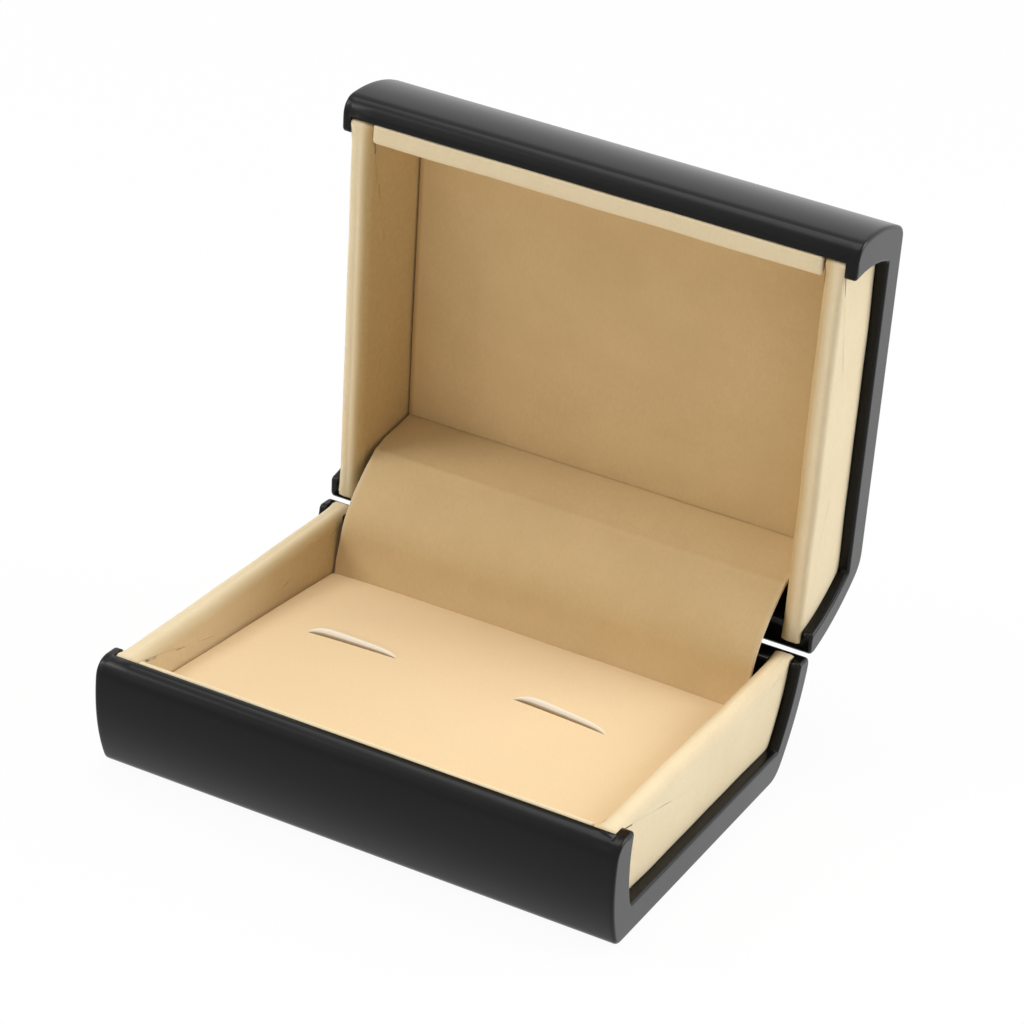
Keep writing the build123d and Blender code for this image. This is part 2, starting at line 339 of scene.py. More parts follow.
def unevenness(points: Array, wave: float, seed: int) -> Array:
    """Smooth hand-made unevenness between about -1 and 1.

    It is the mean of six sines of the position, each along its own direction, with wavelengths near
    the one given.

    Args:
        points: Places in millimetres, in the last axis.
        wave: Typical wavelength in millimetres.
        seed: Seed of the directions and phases.

    Returns:
        One value for each place.
    """
    maker = np.random.default_rng(seed)
    directions = maker.normal(size=(6, points.shape[-1]))
    directions /= np.linalg.norm(directions, axis=1)[:, None]
    rates = 2 * math.pi / (wave * maker.uniform(0.6, 1.6, 6))
    phases = maker.uniform(0, 2 * math.pi, 6)
    return np.sin(points @ (directions * rates[:, None]).T + phases).mean(axis=-1) * 1.6


# ---------------------------------------------------------------- surfaces
@dataclass
class Surface:
    """Points in millimetres, drawn as in the base, with faces and per-point values."""

    points: Array
    faces: Array | list[list[int]]
    values: dict[str, Array]

    def into(self, name: str, half: Half) -> bpy.types.Object:
        """Makes the Blender object.

        Args:
            name: The piece's name.
            half: The half that it belongs to.

        Returns:
            A smooth-shaded object at the origin whose doubles are merged and faces point outwards.
        """
        mesh = bpy.data.meshes.new(name)
        points = BOX.placed(self.points, half).reshape(-1, 3)
        mesh.from_pydata(points.tolist(), [], list(map(tuple, self.faces)))
        for key, value in self.values.items():
            layer = mesh.attributes.new(key, "FLOAT", "POINT")
            layer.data.foreach_set("value", np.asarray(value, np.float32).ravel())
        work = bmesh.new()
        work.from_mesh(mesh)
        bmesh.ops.remove_doubles(work, verts=work.verts, dist=1e-7)
        bmesh.ops.dissolve_degenerate(work, edges=work.edges, dist=1e-8)
        bmesh.ops.recalc_face_normals(work, faces=work.faces)
        work.to_mesh(mesh)
        work.free()
        mesh.polygons.foreach_set("use_smooth", np.ones(len(mesh.polygons), bool))
        piece = bpy.data.objects.new(name, mesh)
        bpy.context.scene.collection.objects.link(piece)
        return piece


def grid_faces(rows: int, columns: int, ring: bool) -> Array:
    """Quads of a grid whose points are numbered row by row.

    Args:
        rows: Number of rows.
        columns: Number of columns.
        ring: Whether the last column joins the first.

    Returns:
        Four indices for each quad.
    """
    here = np.arange(rows * columns).reshape(rows, columns)
    along = np.roll(here, -1, axis=1) if ring else here[:, 1:]
    first = here if ring else here[:, :-1]
    quads = np.stack([first[:-1], along[:-1], along[1:], first[1:]], axis=-1)
    return quads.reshape(-1, 4)


@dataclass
class CarriedSection:
    """A closed section in the depth-height plane, carried along X with softened ends.

    Point (k, i) is loop point i moved inward along the loop's normal by inset k, at station k. The
    stations run outwards from the middle to each end, where they follow a quarter circle, so that
    the end face is flat and its edge is round. Each end face is strips across the section.
    """

    loop: Array
    half_length: float
    edge_round: float
    inner_stations: tuple[float, ...] = (0.0,)
    steps: int = 5
    last_inset: float = 1.3

    def stations(self) -> tuple[Array, Array]:
        """Places along X and the inset at each, from the left end to the right.

        Returns:
            Two arrays of the same length.
        """
        turn = np.linspace(0, math.pi / 2, self.steps + 1)
        end = self.half_length - self.edge_round * (1 - np.cos(turn))
        inset = self.edge_round * (1 - np.sin(turn))
        end = np.append(self.half_length, end)
        inset = np.append(self.edge_round * self.last_inset, inset)
        middle = np.unique(np.concatenate([np.negative(self.inner_stations), self.inner_stations]))
        places = np.concatenate([-end, middle, end[::-1]])
        insets = np.concatenate([inset, np.zeros(len(middle)), inset[::-1]])
        return places, insets

    def rings(self) -> Array:
        """All rings of the surface, from the left end to the right.

        Returns:
            An array of rings by loop points by three coordinates.
        """
        places, insets = self.stations()
        normals = outward_normals(self.loop)
        return with_places(places, self.loop[None] - insets[:, None, None] * normals[None])


def closed_surface(rings: Array) -> Surface:
    """Joins rings with quads and closes each end with strips from one side to the other.

    Args:
        rings: Rings by loop points by three coordinates, with an even number of points in each.

    Returns:
        The closed surface.
    """
    count, around = rings.shape[:2]
    here = np.arange(around // 2 - 1)
    strip = np.stack([here, around - 1 - here, around - 2 - here, here + 1], axis=1)
    far = (strip + (count - 1) * around)[:, ::-1]
    faces = np.concatenate([grid_faces(count, around, ring=True), strip, far])
    return Surface(rings.reshape(-1, 3), faces, {})


# ---------------------------------------------------------------- finishes
class NodeSheet:
    """A material's node tree with short calls for the nodes that the finishes use."""

    def __init__(self, name: str) -> None:
        """Starts a material with one Principled shader.

        Args:
            name: The material's name.
        """
        self.material = bpy.data.materials.new(name)
        self.material.use_nodes = True
        self.tree = self.material.node_tree
        self.shader = self.tree.nodes["Principled BSDF"]
        self.place = self.add("ShaderNodeTexCoord").outputs["Object"]

    def add(self, kind: str, **settings: object) -> bpy.types.Node:
        """Adds a node and sets its properties.

        Args:
            kind: The node's type.
            **settings: Properties by name.

        Returns:
            The node.
        """
        node = self.tree.nodes.new(kind)
        for key, value in settings.items():
            setattr(node, key, value)
        return node

    def link(self, source: Socket, target: Socket) -> None:
        """Joins two sockets."""
        self.tree.links.new(source, target)

    def set(self, **values: object) -> None:
        """Sets the shader's own sockets, with underscores for spaces in their names."""
        for key, value in values.items():
            self.shader.inputs[key.replace("_", " ")].default_value = value

    def noise(self, scale: float, stretch: Triple = (1, 1, 1), **inputs: float) -> Socket:
        """Noise on Object coordinates.

        Args:
            scale: Cells per metre.
            stretch: Factors on the three axes, small where the pattern is long.
            **inputs: Detail, Roughness or Distortion of the noise.

        Returns:
            The noise's value, from 0 to 1.
        """
        mapping = self.add("ShaderNodeMapping")
        mapping.inputs["Scale"].default_value = stretch
        self.link(self.place, mapping.inputs["Vector"])
        node = self.add("ShaderNodeTexNoise")
        node.inputs["Scale"].default_value = scale
        for key, value in inputs.items():
            node.inputs[key].default_value = value
        self.link(mapping.outputs["Vector"], node.inputs["Vector"])
        return node.outputs["Fac"]

    def spread(
        self, source: Socket, low: float, high: float, start: float = 0.3, stop: float = 0.7
    ) -> Socket:
        """Maps a value's start and stop to low and high, clamped.

        Args:
            source: The value.
            low: Result at the start and below it.
            high: Result at the stop and above it.
            start: Value that gives low.
            stop: Value that gives high.

        Returns:
            The mapped value.
        """
        node = self.add("ShaderNodeMapRange")
        ends = {"From Min": start, "From Max": stop, "To Min": low, "To Max": high}
        for key, value in ends.items():
            node.inputs[key].default_value = value
        self.link(source, node.inputs["Value"])
        return node.outputs["Result"]

    def blend(self, share: Socket, first: object, second: object) -> Socket:
        """Mixes two colours by a share.

        Args:
            share: Share of the second colour.
            first: A colour, or a socket that gives one.
            second: The same.

        Returns:
            The mixed colour.
        """
        node = self.add("ShaderNodeMix", data_type="RGBA")
        self.link(share, node.inputs["Factor"])
        for slot, value in (("A", first), ("B", second)):
            socket = next(s for s in node.inputs if s.name == slot and s.type == "RGBA")
            if isinstance(value, Socket):
                self.link(value, socket)
            else:
                socket.default_value = (*value, 1)
        return next(s for s in node.outputs if s.type == "RGBA")

    def paint(self, colour: Socket, roughness: Socket) -> None:
        """Joins a colour and a roughness to the shader."""
        self.link(colour, self.shader.inputs["Base Color"])
        self.link(roughness, self.shader.inputs["Roughness"])

    def value_of(self, attribute: str) -> Socket:
        """A number stored on the piece's points."""
        return self.add("ShaderNodeAttribute", attribute_name=attribute).outputs["Fac"]

    def product(self, first: Socket, second: Socket) -> Socket:
        """Multiplies two values.

        Args:
            first: One value.
            second: The other.

        Returns:
            Their product.
        """
        node = self.add("ShaderNodeMath", operation="MULTIPLY")
        self.link(first, node.inputs[0])
        self.link(second, node.inputs[1])
        return node.outputs["Value"]

    def emboss(self, *layers: tuple[Socket, float, float]) -> None:
        """Raises the surface by layers of height.

        Args:
            *layers: For each layer its value, the height in metres of a step from 0 to 1, and the
                strength.
        """
        normal = None
        for height, distance, strength in layers:
            node = self.add("ShaderNodeBump")
            node.inputs["Distance"].default_value = distance
            node.inputs["Strength"].default_value = strength
            self.link(height, node.inputs["Height"])
            if normal is not None:
                self.link(normal, node.inputs["Normal"])
            normal = node.outputs["Normal"]
        self.link(normal, self.shader.inputs["Normal"])


def shaded(colour: Triple, share: float) -> Triple:
    """A colour with each of its numbers multiplied by a share."""
    return tuple(share * part for part in colour)


@dataclass(frozen=True)
class Lacquer:
    """Smooth satin black lacquer, a little uneven in its shine, with faintly worn edges."""

    name: str = "black_lacquer"
    deep: Triple = (0.0032, 0.0032, 0.003)
    worn: Triple = (0.012, 0.012, 0.011)
    clouds: float = 60.0
    scuffs: float = 1500.0
    ripples: float = 350.0
    ripple_height: float = 0.00001
    roughness: Place = (0.22, 0.27)

    def make(self) -> bpy.types.Material:
        """Builds the material.

        Returns:
            The material.
        """
        sheet = NodeSheet(self.name)
        cloud = sheet.noise(self.clouds, (0.5, 1, 1), Detail=3)
        worn = sheet.value_of("worn")
        edge = sheet.product(worn, sheet.spread(sheet.noise(self.scuffs, Detail=2), 0.2, 1))
        colour = sheet.blend(sheet.spread(cloud, 0, 1), self.deep, shaded(self.deep, 1.4))
        sheet.paint(sheet.blend(edge, colour, self.worn), sheet.spread(cloud, *self.roughness))
        sheet.set(IOR=1.27)
        sheet.emboss((sheet.noise(self.ripples, Detail=1), self.ripple_height, 0.25))
        return sheet.material


@dataclass(frozen=True)
class Cloth:
    """Short-napped cloth: a fibre grain, brushed patches and paler cut edges, with painted shade: a
    darker inner tone, and a deep brown in seams and slot depths.
    """

    name: str
    light: Triple
    dark: Triple
    grain: float = 2200.0
    mottle: float = 0.5
    nap: float = 0.00006
    patches: float = 90.0
    lumps: float = 420.0
    speck_share: float = 0.34
    roughness: Place = (0.82, 0.98)
    sheen: Triple = (1.0, 0.95, 0.85)
    cut: Triple = (0.92, 0.84, 0.70)
    # Deep brown: painted shade, laid on where the "dark" value is set, in seams and in the slots'
    # depths.
    deep: Triple = (0.42, 0.26, 0.10)
    # Darker inner tone: painted shade, laid on where the "inner" value is set, on the end panels'
    # inner faces.
    inner: Triple = (0.57, 0.395, 0.165)

    def make(self) -> bpy.types.Material:
        """Builds the material.

        Returns:
            The material.
        """
        sheet = NodeSheet(self.name)
        brushed = sheet.noise(self.patches, Detail=4, Roughness=0.6)
        patches = sheet.spread(brushed, 0, self.mottle, 0.35, 0.65)
        fibres = sheet.noise(self.grain, (1, 0.6, 0.6), Detail=4, Roughness=0.7)
        specks = sheet.spread(fibres, 0, 1, 0.25, 0.75)
        soft = sheet.blend(patches, self.light, self.dark)
        # Painted shade: the darker inner tone, by the "inner" value.
        soft = sheet.blend(sheet.value_of("inner"), soft, self.inner)
        speckled = sheet.spread(specks, self.speck_share, 0.0, 0, 1)
        fine = sheet.blend(speckled, soft, shaded(self.dark, 0.86))
        edged = sheet.blend(sheet.value_of("cut"), fine, self.cut)
        # Painted shade: the deep brown, by the "dark" value.
        colour = sheet.blend(sheet.value_of("dark"), edged, self.deep)
        sheet.paint(colour, sheet.spread(fibres, *self.roughness))
        sheet.set(Sheen_Weight=0.25, Sheen_Roughness=0.45, Sheen_Tint=(*self.sheen, 1), IOR=1.35)
        lumps = sheet.noise(self.lumps, Detail=3)
        sheet.emboss((fibres, self.nap, 0.7), (lumps, self.nap * 1.5, 0.4))
        return sheet.material


@dataclass(frozen=True)
class Metal:
    """Plated steel with fine lines along the pin and a few dull patches."""

    name: str
    colour: Triple
    shine: float
    scratches: float = 3000.0
    scratch_depth: float = 0.000004
    dull_patches: float = 500.0

    def make(self) -> bpy.types.Material:
        """Builds the material.

        Returns:
            The material.
        """
        sheet = NodeSheet(self.name)
        lines = sheet.noise(self.scratches, (0.05, 1, 1), Detail=2)
        dull = sheet.spread(sheet.noise(self.dull_patches, Detail=3), 0, 1)
        colour = sheet.blend(dull, self.colour, shaded(self.colour, 0.8))
        sheet.paint(colour, sheet.spread(lines, self.shine, self.shine + 0.15))
        sheet.set(Metallic=1.0)
        sheet.emboss((lines, self.scratch_depth, 0.5))
        return sheet.material


@dataclass(frozen=True)
class Filling:
    """Hidden filling: grey board with pressed fibres, or foam with open pores."""

    name: str
    colour: Triple
    pores: float
    pore_depth: float = 0.0001
    roughness: Place = (0.8, 0.95)

    def make(self) -> bpy.types.Material:
        """Builds the material.

        Returns:
            The material.
        """
        sheet = NodeSheet(self.name)
        grain = sheet.noise(self.pores, Detail=5, Roughness=0.7)
        colour = sheet.blend(sheet.spread(grain, 0, 1), self.colour, shaded(self.colour, 0.6))
        sheet.paint(colour, sheet.spread(grain, *self.roughness))
        sheet.emboss((grain, self.pore_depth, 0.6))
        return sheet.material


@dataclass
class Finishes:
    """All of the box's materials."""

    lacquer: bpy.types.Material
    panel: bpy.types.Material
    lining: bpy.types.Material
    pillow: bpy.types.Material
    nickel: bpy.types.Material
    screws: bpy.types.Material
    board: bpy.types.Material
    foam: bpy.types.Material

    @classmethod
    def made(cls) -> "Finishes":
        """Builds every material once.

        Returns:
            The set of materials.
        """
        panel = Cloth("panel_cloth", (0.90, 0.76, 0.51), (0.84, 0.69, 0.44))
        # The lining cloth is the panel cloth made darker and more saturated: painted shade for the
        # inside of the lid, also used on the hinge cover.
        lining = Cloth("lining_cloth_painted_shade", (0.735, 0.54, 0.285), (0.65, 0.47, 0.232))
        pillow = Cloth("pillow_cloth", (0.86, 0.65, 0.385), (0.83, 0.62, 0.36), 3000, 0.35, 0.00003)
        return cls(
            lacquer=Lacquer().make(),
            panel=panel.make(),
            lining=lining.make(),
            pillow=pillow.make(),
            nickel=Metal("nickel", (0.72, 0.70, 0.66), 0.28).make(),
            screws=Metal("screw_nickel", (0.75, 0.73, 0.70), 0.15).make(),
            board=Filling("grey_board", (0.42, 0.38, 0.32), 900).make(),
            foam=Filling("foam", (0.80, 0.76, 0.66), 2500).make(),
        )


def dress(piece: bpy.types.Object, material: bpy.types.Material) -> None:
    """Gives a piece one material."""
    piece.data.materials.clear()
    piece.data.materials.append(material)


# ---------------------------------------------------------------- the shells
@dataclass
class Shell:
    """One black shell: a plate and two flared walls, thick at its open ends and along the hinge.

    Between the ends the walls are thinner, so that the panels and the front liner sit in pockets
    and their cloth covers most of the rim.
    """

    half: Half
    end_round: float = 0.5
    front_foot: float = 1.6
    back_foot: float = 2.4
    back_crease: float = 16.4
    back_edge: float = 34.5
    back_rim_reach: float = 1.3
    back_bow: float = 0.05
    crease_reach: float = 0.65
    end_thinning: float = 1.3
    rim_reach: float = 0.35
    end_rim_reach: float = 0.9
    lip_reach: float = 0.35
    root_reach: float = 0.4
    rim_flat: float = 0.2
    hinge_half: float = 22.2
    barrel: float = 1.23
    leaf_sink: float = 0.35
    pocket_gap: float = 0.05
    end_margin: float = 1.0
    plain_places: tuple[float, ...] = (0.0, 14.0)
    outer_place: float = 28.0
    step: float = 0.01
    worn_turn: float = 0.5
    most_worn: float = 0.6

    def outer_line(
        self, rim: float, crease: float, foot_reach: float, rim_reach: float, bow: float
    ) -> Array:
        """Outer line of one side: from the foot's middle up the swelling face to the rim's edge.

        Args:
            rim: Half-depth of the rim's outer edge.
            crease: Height where the face turns in towards the rim.
            foot_reach: Reach of the rounding between foot and wall.
            rim_reach: Reach of the rounding at the rim's outer edge.
            bow: How far the line swells between crease and rim.

        Returns:
            The line's points, drawn on the back side.
        """
        face, edge = wall_arc(0, crease, 0), (rim, BOX.half_height)
        nose = bowed(tuple(face[-1]), edge, bow)
        free = math.dist(tuple(face[-1]), edge) - rim_reach
        foot = straight((0, 0), (BOX.foot / 2, 0))
        return with_round_corners(
            [foot, face, nose, straight(edge, self.rim_end(rim, rim_reach))],
            [foot_reach, min(self.crease_reach, 0.95 * free), rim_reach, 0],
            per_run=[8, 22, 9, 3],
            per_corner=6,
        )

    def rim_end(self, rim: float, rim_reach: float) -> Place:
        """Where the outer line ends on top of the rim and the inner line begins."""
        return rim - rim_reach - self.rim_flat, BOX.half_height

    def inner_line(self, rim: float, inward: float, rim_reach: float, lip: float) -> Array:
        """Inner line of one side: from the rim's edge down the wall and in to the plate's middle.

        Args:
            rim: Half-depth of the rim's outer edge.
            inward: How far the wall's inner face lies inside its outer one.
            rim_reach: Reach of the rounding at the rim's outer edge.
            lip: Reach of the rounding at the rim's inner edge.

        Returns:
            The line's points, drawn on the back side.
        """
        wall = wall_arc(BOX.plate, BOX.half_height, inward)[::-1]
        start, corner = self.rim_end(rim, rim_reach), tuple(wall[0])
        return with_round_corners(
            [straight(start, corner), wall, straight(tuple(wall[-1]), (0, BOX.plate))],
            [min(lip, 0.8 * (start[0] - corner[0])), self.root_reach, 0],
            per_run=[4, 27, 20],
        )

    def loop(self, front_inward: float, back_inward: float, rim_reach: float, lip: float) -> Array:
        """The whole section: outer line from rim to rim, then the inner line back.

        Args:
            front_inward: Thickness of the front wall.
            back_inward: Thickness of the back wall.
            rim_reach: Reach of the rounding at the front rim's outer edge.
            lip: Reach of the roundings at the rims' inner edges.

        Returns:
            The closed line, with as many points for every set of values.
        """
        back = self.outer_line(
            self.back_edge, self.back_crease, self.back_foot, self.back_rim_reach, self.back_bow
        )
        front = self.outer_line(BOX.front_rim, BOX.crease, self.front_foot, rim_reach, BOX.nose)
        inner_back = self.inner_line(self.back_edge, back_inward, self.back_rim_reach, lip)
        inner_front = self.inner_line(BOX.front_rim, front_inward, rim_reach, lip)
        return np.concatenate(
            [mirrored(front), back[1:], inner_back[1:], mirrored(inner_front)[1:-1]]
        )

    def rings(self) -> Array:
        """Sections from the left end to the right.

        Three sections take turns: thick walls at the ends, two pockets beside the panels, and
        between them a pocket in the front wall alone. At each change two sections stand one step
        apart, so that the pocket's side is a flat face. The pocket's inner side leans like the
        panel's inner face, and at the left end its outer side stands further out.

        Returns:
            An array of rings by loop points by three coordinates.
        """
        end_wall = BOX.wall - self.end_thinning
        ends = self.loop(BOX.wall, end_wall, self.end_rim_reach, self.end_rim_reach)
        thin, reaches = BOX.front_pocket_wall, (self.rim_reach, self.lip_reach)
        pocket = self.loop(thin, BOX.back_pocket_wall, *reaches)
        middle = self.loop(thin, BOX.wall, *reaches)
        carried = CarriedSection(ends, BOX.width / 2, self.end_round).rings()
        end = carried[carried[:, 0, 0] > BOX.panel_outer + self.end_margin]
        edge = BOX.panel_outer + self.pocket_gap
        lean = BOX.between_panels(middle[:, 1], -self.pocket_gap)
        hinge_end = (self.hinge_half, self.hinge_half + self.step)
        along = (*self.plain_places, *hinge_end, self.outer_place, lean)
        halves = [self.at_place(middle, x) for x in along]
        halves += [self.at_place(pocket, x) for x in (lean + self.step, edge)]
        last = BOX.width / 2 - self.end_margin
        halves += [self.at_place(ends, x) for x in (edge + self.step, last)]
        right = np.concatenate([np.stack(halves), end])
        left = right[:0:-1] * np.array([-1.0, 1.0, 1.0])
        past_edge = -edge - left[..., 0]
        left[..., 0] -= BOX.left_outset * ((past_edge > -TINY) & (past_edge < 2 * self.step))
        return np.concatenate([left, right])

    def at_place(self, loop: Array, x: Heights) -> Array:
        """A section's points at a place along X, one for all of them or one for each."""
        return np.column_stack([np.broadcast_to(x, len(loop)), loop])

    def make(self, finishes: Finishes) -> bpy.types.Object:
        """Builds the shell, cut away for the hinge's barrel and leaf.

        Args:
            finishes: The box's materials.

        Returns:
            The shell's object.
        """
        rings = self.rings()
        wear = self.wear(rings)
        self.cut_for_hinge(rings)
        surface = closed_surface(rings)
        surface.values["worn"] = wear
        piece = surface.into(f"{self.half.value}_shell_lacquer", self.half)
        dress(piece, finishes.lacquer)
        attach(piece, self.half.value)
        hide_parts(f"{self.half.value}_shell")
        return piece

    def cut_for_hinge(self, rings: Array) -> None:
        """Sinks the rim under the leaf and pushes the nose out of the barrel's circle.

        Args:
            rings: The shell's rings, which are changed in place.
        """
        x, y, z = (rings[..., k] for k in range(3))
        along = np.abs(x) <= self.hinge_half + TINY
        under = along & (y > BOX.pin_back - BOX.wall) & (z > BOX.half_height - self.leaf_sink)
        z[under] = BOX.half_height - self.leaf_sink
        away = np.hypot(y - BOX.pin_back, z - BOX.closing_plane)
        inside = along & (away < self.barrel)
        scale = self.barrel / np.maximum(away, TINY)
        y[inside] = (BOX.pin_back + (y - BOX.pin_back) * scale)[inside]
        z[inside] = (BOX.closing_plane + (z - BOX.closing_plane) * scale)[inside]

    def wear(self, rings: Array) -> Array:
        """Worn share of each point, which grows with the turn between its two steps.

        Args:
            rings: The shell's rings.

        Returns:
            One value for each point of each ring.
        """
        step = np.roll(rings[..., 1:], -1, axis=1) - rings[..., 1:]
        heading = np.arctan2(step[..., 1], step[..., 0])
        turn = np.abs((heading - np.roll(heading, 1, axis=1) + math.pi) % (2 * math.pi) - math.pi)
        return np.clip(turn / self.worn_turn, 0, 1) * self.most_worn


# ---------------------------------------------------------------- cloth-wrapped pieces
@dataclass
class EndPanel:
    """A padded cloth panel that closes one end of a half, its cloth drawn over the back rim."""

    half: Half
    side: Side
    over_rim: float
    corner: float = 1.0
    hinge_corner: float = 0.7
    outer_round: float = 1.0
    ridge_round: float = 1.3
    dip: float = 0.07
    dip_place: float = 1.3
    dip_width: float = 0.45
    bulge: float = 0.3
    inner_hollow: float = 0.2
    seat: float = 0.05
    plate_share: float = 0.08
    plate_start: float = 0.5
    plate_rise: float = 2.5
    tip_share: float = 0.25
    tip_reach: float = 1.2
    tip_fade: float = 2.0
    # Painted shade on the inner face: how far above the inner face it begins, and in the base its
    # share at the front and where it fades in.
    inner_shade_reach: float = 1.5
    front_shade: float = 0.3
    shade_start: float = -8.0
    shade_run: float = 34.0
    hand_made: float = 0.08
    centre_shares: tuple[float, ...] = (0.0, 0.3, 0.6, 0.85, 0.95)

    def dome(self, section: Array) -> Array:
        """Share of the swelling at each place: (1 - u^2)(1 - v^2), 0 at the outline.

        Args:
            section: Places in the depth-height plane, in the last axis.

        Returns:
            One value from 0 to 1 for each place. U runs from wall to wall, v from plate to rim.
        """
        height = section[..., 1]
        front, back = BOX.face(height, BOX.front_pocket_wall), BOX.face(height, self.over_rim)
        u = (section[..., 0] - (back - front) / 2) / ((back + front) / 2)
        v = (2 * height - BOX.top - BOX.plate) / (BOX.top - BOX.plate)
        return np.clip(1 - u**2, 0, 1) * np.clip(1 - v**2, 0, 1)

    def outline(self) -> Array:
        """The room between the walls as a closed line, softened at its corners.

        Returns:
            The line's points, from the foot round by the back wall.
        """
        back = wall_arc(BOX.plate, BOX.top, self.over_rim)
        front = mirrored(wall_arc(BOX.plate, BOX.top, BOX.front_pocket_wall + self.seat))
        foot = straight(tuple(front[-1]), tuple(back[0]), 40)
        rim = straight(tuple(back[-1]), tuple(front[0]), 40)
        return with_round_corners(
            [foot, back, rim, front],
            [self.corner, self.hinge_corner, self.corner, self.corner],
            per_run=[36, 14, 36, 14],
            per_corner=6,
        )

    def edge_share(self, loop: Array) -> Array:
        """Share of the edge's full rounding at each loop point.

        It is 1 along the rim, falls to the plate's share at the plate, and to the tips' share near
        the two top corners, which are too small for the whole rounding.

        Args:
            loop: The panel's outline.

        Returns:
            One value for each point.
        """
        back = float(BOX.face(BOX.top, self.over_rim))
        front = -float(BOX.face(BOX.top, BOX.front_pocket_wall + self.seat))
        tips = np.array([(back, BOX.top), (front, BOX.top)])
        reach = np.linalg.norm(loop[:, None] - tips[None], axis=-1).min(axis=1)
        at_plate = ramp(loop[:, 1], BOX.plate + self.plate_start, self.plate_rise)
        at_tips = self.tip_share + (1 - self.tip_share) * ramp(reach, self.tip_reach, self.tip_fade)
        return np.maximum(at_plate, self.plate_share) * at_tips

    def across(self) -> tuple[Array, Array]:
        """The edge's section from the outer face to the inner one.

        The inset from the outline is a quarter circle at each side, and between them a shallow dip
        in the shape of a bell, where the cloth of the outer and the inner layer meet.

        Returns:
            Depth below the outer face, and inset from the outline.
        """
        thick = BOX.panel_thick
        turn = np.linspace(0, math.pi / 2, 7)
        first = self.outer_round * (1 - np.cos(turn))
        last = thick - self.ridge_round * (1 - np.cos(turn[::-1]))
        depth = np.concatenate([first, np.linspace(first[-1], last[0], 7)[1:-1], last])
        inset = np.zeros(len(depth))
        near, far = depth < self.outer_round, depth > thick - self.ridge_round
        inset[near] = quarter(self.outer_round - depth[near], self.outer_round)
        inset[far] = quarter(depth[far] - thick + self.ridge_round, self.ridge_round)
        return depth, inset + self.dip * bell(depth - self.dip_place, self.dip_width)

    def section(self) -> tuple[Array, Array]:
        """All of the panel's rings in the depth-height plane.

        The outer face's rings grow from one point to the edge, the edge's rings run across it, and
        the inner face's rings shrink to one point.

        Returns:
            Rings by loop points by two coordinates, and each ring's depth below the outer face.
        """
        loop, shares = self.outline(), np.array(self.centre_shares)
        depth, inset = self.across()
        inward = (inset[:, None] * self.edge_share(loop))[..., None] * outward_normals(loop)[None]
        edge, centre = loop[None] - inward, loop.mean(axis=0)
        outer = drawn_in(edge[0], centre, shares)
        inner = drawn_in(edge[-1], centre, shares[::-1])
        thick = np.full(len(shares), BOX.panel_thick)
        return np.concatenate([outer, edge, inner]), np.concatenate([0 * thick, depth, thick])

    def painted_inner_shade(self, section: Array, below: Array) -> Array:
        """How much painted shade each point has: a darker tone on the panel's inner face that
        stands in for the shade there.

        Args:
            section: Places in the depth-height plane, in the last axis.
            below: Depth below the outer face, one for each ring.

        Returns:
            One value from 0 to 1 for each place. In the base the painted shade fades towards the
            front.
        """
        tone = ramp(below[:, None], BOX.panel_thick - self.inner_shade_reach, 1.0)
        tone = np.broadcast_to(tone, section.shape[:2])
        if self.half is Half.BASE:
            way_back = ramp(section[..., 0], self.shade_start, self.shade_run)
            tone = tone * (self.front_shade + (1 - self.front_shade) * way_back)
        return tone

    def make(self, finishes: Finishes) -> bpy.types.Object:
        """Builds the panel.

        Args:
            finishes: The box's materials.

        Returns:
            The panel's object.
        """
        section, below = self.section()
        thick, side = BOX.panel_thick, self.side.value
        padding = BOX.below_rim(section[..., 1]) * BOX.panel_padding / thick
        x = BOX.panel_outer - below[:, None] * (1 + padding)
        if self.side is Side.LEFT:
            x += BOX.left_outset * (1 - below[:, None] / thick)
        swelling = np.clip(1 - below / self.outer_round, 0, 1)
        hollow = np.clip(1 - (thick - below) / self.ridge_round, 0, 1)
        x += self.dome(section) * (self.bulge * swelling + self.inner_hollow * hollow)[:, None]
        rings = np.concatenate([side * x[..., None], section], axis=2)
        rings[..., 0] += self.hand_made * unevenness(rings, wave=16, seed=5 + side)
        faces = grid_faces(*rings.shape[:2], ring=True)
        # The "inner" value is the painted shade on the panel's inner face.
        surface = Surface(rings.reshape(-1, 3), faces, {"inner": self.painted_inner_shade(section, below)})
        word = self.side.name.lower()
        piece = surface.into(f"{self.half.value}_panel_{word}", self.half)
        dress(piece, finishes.panel)
        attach(piece, self.half.value)
        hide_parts(f"{self.half.value}_end_skin_{word}")
        return piece


